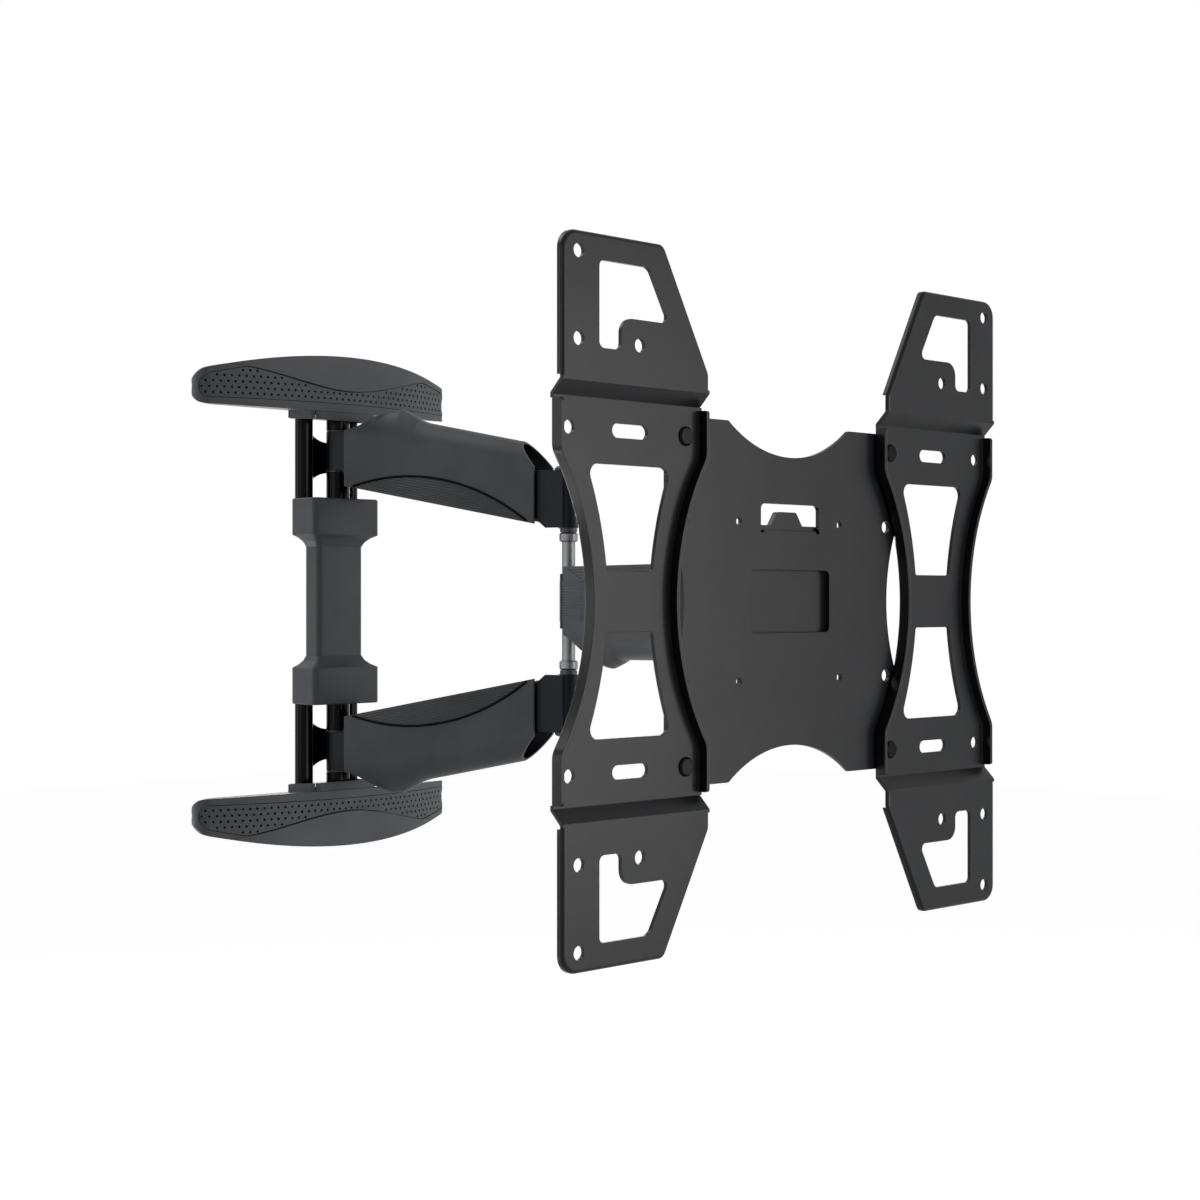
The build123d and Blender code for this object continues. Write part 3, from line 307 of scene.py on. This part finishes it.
def dotted_skin(cover, name, up):
    """Perforated skin over the sunk panel of one wall cover; up is 1 or -1."""
    skin = panel_sheet(cover, name)
    rim_shade_bead(skin, name + "_seam")
    hole_shade_sheet(skin, name + "_film")
    punches = hole_punches(skin, up)
    thicken(skin, SKIN_T, 1)
    cut = skin.modifiers.new("holes", "BOOLEAN")
    cut.operation = "DIFFERENCE"
    cut.solver = "EXACT"
    cut.object = punches
    bpy.ops.object.modifier_apply(modifier="holes")
    bpy.data.objects.remove(punches)
    bpy.ops.object.shade_smooth_by_angle(angle=SMOOTH)
    paint(skin, lightened_shell_plastic)
    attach(skin, "wall_unit")


dotted_skin(upper_shell, "upper_dotted_skin", 1)
dotted_skin(lower_shell, "lower_dotted_skin", -1)

# Arm pair, forearm and head. Folded steel channels, welded to a hinge tube at each end and
# powder coated blue-black, as are the fork and the bracket of the head. Nylon bushes are
# pressed into the tubes.
bush_nylon = coated(
    "bush_nylon", (0.012, 0.012, 0.012), (0.018, 0.018, 0.018), 0.5, 0.5, 1200, 0.00003, 0.0003
)
dress(arm_coat, "upper_arm", "lower_arm", "forearm", "pan_head", "tilt_bracket")
dress(bush_nylon, "shoulder_bushes", "elbow_bushes", "pan_bushes", "tilt_washers", "level_washer")

# Arm covers. Moulded charcoal covers snap over the channels, and their arched roof leaves a
# way for cables. Fine ribs fill the shallow scallop along one edge of both sides, and on the
# arm pair a black band along the scallop's curve is a painted shadow line.
dress(cover_plastic, "upper_arm_cover", "lower_arm_cover", "forearm_cover", "elbow_caps")
ARM_LONG, ARM_ANGLE = 0.216, radians(14.84)
COVER_HALF = 0.0145
SCALLOP_START, SCALLOP_END = 0.022, 0.191
SCALLOP_CHORD, SCALLOP_RISE, SCALLOP_DEPTH = 0.1719, 0.02015, 0.0005
SCALLOP_R = (SCALLOP_CHORD**2 / 4 + SCALLOP_RISE**2) / (2 * SCALLOP_RISE)
RIB_PITCH, RIB_HIGH, RIB_PROUD = 0.002, 0.0011, 0.0005
RIB_MARGIN = 0.0016
RIB_SOFT, RIB_SMOOTH = 0.0002, radians(40)
SHADE_LINE_OUT, SHADE_LINE_IN, SHADE_LINE_T = 0.0003, 0.0014, 0.0012
SHADE_LINE_LIFT, SHADE_LINE_END = 0.00045, 0.0004


def scallop(root, heading, start_z, end_z, flip):
    """Middle of a scallop's straight edge, then its ways along the edge, sideways and up the rise."""
    out = Vector((sin(heading), -cos(heading), 0))
    side = Vector((-cos(heading), -sin(heading), 0))
    start = Vector((*root, start_z)) + out * SCALLOP_START
    end = Vector((*root, end_z)) + out * SCALLOP_END
    edge = (end - start).normalized()
    rise = side.cross(edge)
    if rise.z * flip < 0:
        rise = -rise
    return (start + end) / 2, edge, side, rise


def soften(piece, segments):
    """Round the sharp edges of the ribs."""
    soft = piece.modifiers.new("soft_edge", "BEVEL")
    soft.width = RIB_SOFT
    soft.segments = segments
    soft.limit_method = "ANGLE"
    bpy.ops.object.modifier_apply(modifier="soft_edge")
    bpy.ops.object.shade_smooth_by_angle(angle=RIB_SMOOTH)


def cover_ribs(name, body, *edge_line):
    """Ribs in both scallops of one cover."""
    middle, edge, side, rise = scallop(*edge_line)
    bpy.ops.object.select_all(action="DESELECT")
    bpy.ops.mesh.primitive_cube_add(size=1, location=(0, 0, 0))
    pattern = bpy.context.active_object
    bars = []
    for face in (-1, 1):
        turned = Matrix((edge, side * face, rise)).transposed().to_4x4()
        height = RIB_MARGIN
        while height < SCALLOP_RISE - RIB_MARGIN:
            half = sqrt(SCALLOP_R**2 - (SCALLOP_R - SCALLOP_RISE + height) ** 2) - RIB_MARGIN
            spot = middle + rise * height + side * face * (COVER_HALF - SCALLOP_DEPTH)
            size = Matrix.Diagonal((2 * half, 2 * RIB_PROUD, RIB_HIGH, 1))
            bar = own_copy(pattern, name)
            bar.data.transform(Matrix.Translation(spot) @ turned @ size)
            bars.append(bar)
            height += RIB_PITCH
    bpy.data.objects.remove(pattern)
    ribs = join(bars)
    bpy.ops.object.mode_set(mode="EDIT")
    bpy.ops.mesh.select_all(action="SELECT")
    bpy.ops.mesh.normals_make_consistent(inside=False)
    bpy.ops.object.mode_set(mode="OBJECT")
    soften(ribs, 2)
    paint(ribs, cover_plastic)
    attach(ribs, body)


def scallop_shade_lines(name, body, *edge_line):
    """Painted shadow line along the curved border of both scallops of one cover."""
    middle, edge, side, rise = scallop(*edge_line)
    bpy.ops.object.select_all(action="DESELECT")
    bpy.ops.mesh.primitive_circle_add(vertices=256, radius=SCALLOP_R + SHADE_LINE_OUT, location=(0, 0, 0))
    shade_line = bpy.context.active_object
    shade_line.name = name
    bpy.ops.object.mode_set(mode="EDIT")
    bpy.ops.mesh.select_mode(type="VERT")
    bpy.ops.mesh.select_all(action="DESELECT")
    bpy.ops.object.mode_set(mode="OBJECT")
    for vertex in shade_line.data.vertices:
        vertex.select = vertex.co.y < SCALLOP_R - SCALLOP_RISE + SHADE_LINE_END
    bpy.ops.object.mode_set(mode="EDIT")
    bpy.ops.mesh.delete(type="VERT")
    bpy.ops.mesh.select_all(action="SELECT")
    bpy.ops.mesh.extrude_region_move()
    inner = (SCALLOP_R - SHADE_LINE_IN) / (SCALLOP_R + SHADE_LINE_OUT)
    bpy.ops.transform.resize(value=(inner, inner, 1), center_override=(0, 0, 0))
    bpy.ops.object.mode_set(mode="OBJECT")
    flat = Matrix((edge, rise, edge.cross(rise))).transposed().to_4x4()
    centre = middle + rise * (SCALLOP_RISE - SCALLOP_R)
    other = own_copy(shade_line, name)
    for band, face in ((shade_line, 1), (other, -1)):
        spot = centre + side * face * (COVER_HALF - SCALLOP_DEPTH + SHADE_LINE_LIFT)
        band.data.transform(Matrix.Translation(spot) @ flat)
    join([shade_line, other])
    thicken(shade_line, SHADE_LINE_T, 0)
    paint(shade_line, shade_black)
    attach(shade_line, body)


shoulder = (0.0, -0.0285)
elbow = (shoulder[0] + ARM_LONG * sin(ARM_ANGLE), shoulder[1] - ARM_LONG * cos(ARM_ANGLE))
upper_edge = (shoulder, ARM_ANGLE, 0.09027, 0.05866, 1)
lower_edge = (shoulder, ARM_ANGLE, -0.09027, -0.05866, -1)
forearm_edge = (elbow, -ARM_ANGLE, 0.0256, 0.0256, -1)
cover_ribs("upper_arm_ribs", "arm_pair", *upper_edge)
cover_ribs("lower_arm_ribs", "arm_pair", *lower_edge)
cover_ribs("forearm_ribs", "forearm_body", *forearm_edge)
scallop_shade_lines("upper_arm_shade_lines", "arm_pair", *upper_edge)
scallop_shade_lines("lower_arm_shade_lines", "arm_pair", *lower_edge)

# Neck ribs. The forearm's neck carries thin moulded ribs, rings round the elbow barrel and
# short bars on both sides of the cover's end, moulded in one with the cover.
NECK_R, NECK_RIB, NECK_PITCH, NECK_COUNT = 0.0071, 0.0009, 0.002, 15
BAR_START, BAR_LONG, BAR_PROUD = 0.0175, 0.03, 0.0003
bpy.ops.object.select_all(action="DESELECT")
bpy.ops.mesh.primitive_cylinder_add(vertices=48, radius=NECK_R, depth=NECK_RIB, location=(0, 0, 0))
neck = bpy.context.active_object
neck.name = "forearm_neck_ribs"
bpy.ops.mesh.primitive_cube_add(size=1, location=(0, 0, 0))
near_bar = bpy.context.active_object
near_bar.data.transform(Matrix.Diagonal((BAR_LONG, 2 * BAR_PROUD, NECK_RIB, 1)))
far_bar = own_copy(near_bar, "far_bar")
for bar, face in ((near_bar, -1), (far_bar, 1)):
    bar.data.transform(Matrix.Translation((BAR_START + BAR_LONG / 2, face * COVER_HALF, 0)))
join([neck, near_bar, far_bar])
along = Matrix.Rotation(-ARM_ANGLE - radians(90), 4, "Z")
lowest = -(NECK_COUNT - 1) / 2 * NECK_PITCH
neck.data.transform(Matrix.Translation((*elbow, lowest)) @ along)
stack = neck.modifiers.new("stack", "ARRAY")
stack.count = NECK_COUNT
stack.use_relative_offset = False
stack.use_constant_offset = True
stack.constant_offset_displace = (0, 0, NECK_PITCH)
bpy.ops.object.modifier_apply(modifier="stack")
soften(neck, 1)
paint(neck, cover_plastic)
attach(neck, "forearm_body")

# Elbow. A round dark plated shaft is fixed in the forearm and turns in both arms, with a thrust
# ring beside each arm's tube.
shaft_steel = coated(
    "shaft_steel", (0.13, 0.134, 0.14), (0.17, 0.174, 0.18), 0.42, 0.5, 1500, 0.00002, 0.0003, metal=1
)
dress(shaft_steel, "elbow_shaft", "elbow_rings")

# Screen plate. The centre plate, its two folded brackets and the head plate are laser cut
# and folded from steel sheet, then powder coated in fine satin black. Black bolts with low
# round heads hold the brackets.
plate_coat = coated(
    "plate_coat", (0.005, 0.0054, 0.0062), (0.008, 0.0084, 0.0095), 0.3, 0.13, 2400, 0.00004, 0.0006
)
dress(plate_coat, "centre_plate", "left_bracket", "right_bracket", "head_plate")
dress(rod_coat, "bracket_bolts")

# Studio. A pale floor lies well below the mount, and the room around it is dim, but both show
# white to the camera and in reflections. A broad softbox in front lights the screen plate,
# weaker ones stand at the sides, behind and above, and two at the left rear light the edges.
FLOOR_WIDE, FLOOR_Z = 12, -0.75


def shown_to(nodes, links, *rays):
    """Socket that is 1 for the named kinds of ray and 0 for all others."""
    path = nodes.new("ShaderNodeLightPath")
    shown = path.outputs[rays[0]]
    for ray in rays[1:]:
        either = nodes.new("ShaderNodeMath")
        either.operation = "MAXIMUM"
        links.new(shown, either.inputs[0])
        links.new(path.outputs[ray], either.inputs[1])
        shown = either.outputs["Value"]
    return shown


bpy.ops.object.select_all(action="DESELECT")
bpy.ops.mesh.primitive_plane_add(size=FLOOR_WIDE, location=(0, 0, FLOOR_Z))
floor = bpy.context.active_object
floor.name = "floor"
pale = bpy.data.materials.new("pale_floor")
pale.use_nodes = True
nodes, links = pale.node_tree.nodes, pale.node_tree.links
ground = nodes["Principled BSDF"]
ground.inputs["Base Color"].default_value = (0.3, 0.3, 0.3, 1)
ground.inputs["Roughness"].default_value = 0.9
ground.inputs["Emission Color"].default_value = (0.9, 0.9, 0.9, 1)
shown = shown_to(nodes, links, "Is Camera Ray", "Is Glossy Ray", "Is Transmission Ray")
links.new(shown, ground.inputs["Emission Strength"])
floor.data.materials.append(pale)

world = bpy.data.worlds.new("studio")
bpy.context.scene.world = world
world.use_nodes = True
nodes, links = world.node_tree.nodes, world.node_tree.links
place = nodes.new("ShaderNodeTexCoord")
split = nodes.new("ShaderNodeSeparateXYZ")
links.new(place.outputs["Generated"], split.inputs["Vector"])
steep = nodes.new("ShaderNodeMath")
steep.operation = "ABSOLUTE"
links.new(split.outputs["Z"], steep.inputs[0])
dim = nodes.new("ShaderNodeValToRGB")
dim.color_ramp.elements[0].color = (0.13, 0.14, 0.16, 1)
dim.color_ramp.elements[0].position = 0.1
dim.color_ramp.elements[1].color = (0.025, 0.03, 0.04, 1)
dim.color_ramp.elements[1].position = 0.62
links.new(steep.outputs["Value"], dim.inputs["Fac"])
links.new(dim.outputs["Color"], nodes["Background"].inputs["Color"])
white = nodes.new("ShaderNodeBackground")
white.inputs["Color"].default_value = (1, 1, 1, 1)
white.inputs["Strength"].default_value = 1
shown = shown_to(nodes, links, "Is Camera Ray", "Is Glossy Ray", "Is Transmission Ray")
mix = nodes.new("ShaderNodeMixShader")
links.new(shown, mix.inputs["Fac"])
links.new(nodes["Background"].outputs["Background"], mix.inputs[1])
links.new(white.outputs["Background"], mix.inputs[2])
links.new(mix.outputs["Shader"], nodes["World Output"].inputs["Surface"])


def softbox(name, place, aim, wide, tall, power):
    """Rectangular lamp that faces a point."""
    lamp = bpy.data.lights.new(name, "AREA")
    lamp.shape = "RECTANGLE"
    lamp.size = wide
    lamp.size_y = tall
    lamp.energy = power
    box = bpy.data.objects.new(name, lamp)
    box.location = place
    box.rotation_euler = (Vector(aim) - Vector(place)).to_track_quat("-Z", "Y").to_euler()
    bpy.context.collection.objects.link(box)


softbox("front", (0.75, -2.3, 0.0), (0.75, 0, 0), 2.15, 1.25, 55)
softbox("left", (-2.3, -0.2, 0.2), (0, -0.3, 0), 1.2, 1.2, 8)
softbox("left_back", (-1.6, 1.2, 0.1), (-0.1, -0.5, 0), 0.8, 0.9, 7)
softbox("right", (2.3, -0.55, 0.0), (0, -0.3, 0), 0.5, 1.2, 5)
softbox("back_fill", (1.9, 1.7, 0.4), (0, -0.3, 0), 1.4, 1.4, 16)
softbox("top_fill", (-0.3, 0.1, 2.2), (0, -0.3, 0), 1.2, 1.2, 6)
softbox("edge_high", (-0.6, 0.9, 1.4), (0.1, -0.5, 0.15), 1.0, 0.8, 15)
softbox("edge_low", (-0.6, 0.9, -0.7), (0.1, -0.5, -0.15), 1.0, 0.3, 10)

# Camera. It stands level with the middle of the mount, to the left and in front of it, and
# looks along the diagonal. Place and lens come from a fit to the screw-hole grids.
camera = bpy.data.objects.new("camera", bpy.data.cameras.new("camera"))
camera.data.lens = 61.857
camera.data.sensor_width = 36
camera.location = (-1.0203, -1.3474, 0.0009)
camera.rotation_euler = Vector((0.7067, 0.7075, 0)).to_track_quat("-Z", "Y").to_euler()
bpy.context.collection.objects.link(camera)
bpy.context.scene.camera = camera
bpy.context.scene.view_settings.view_transform = "Standard"
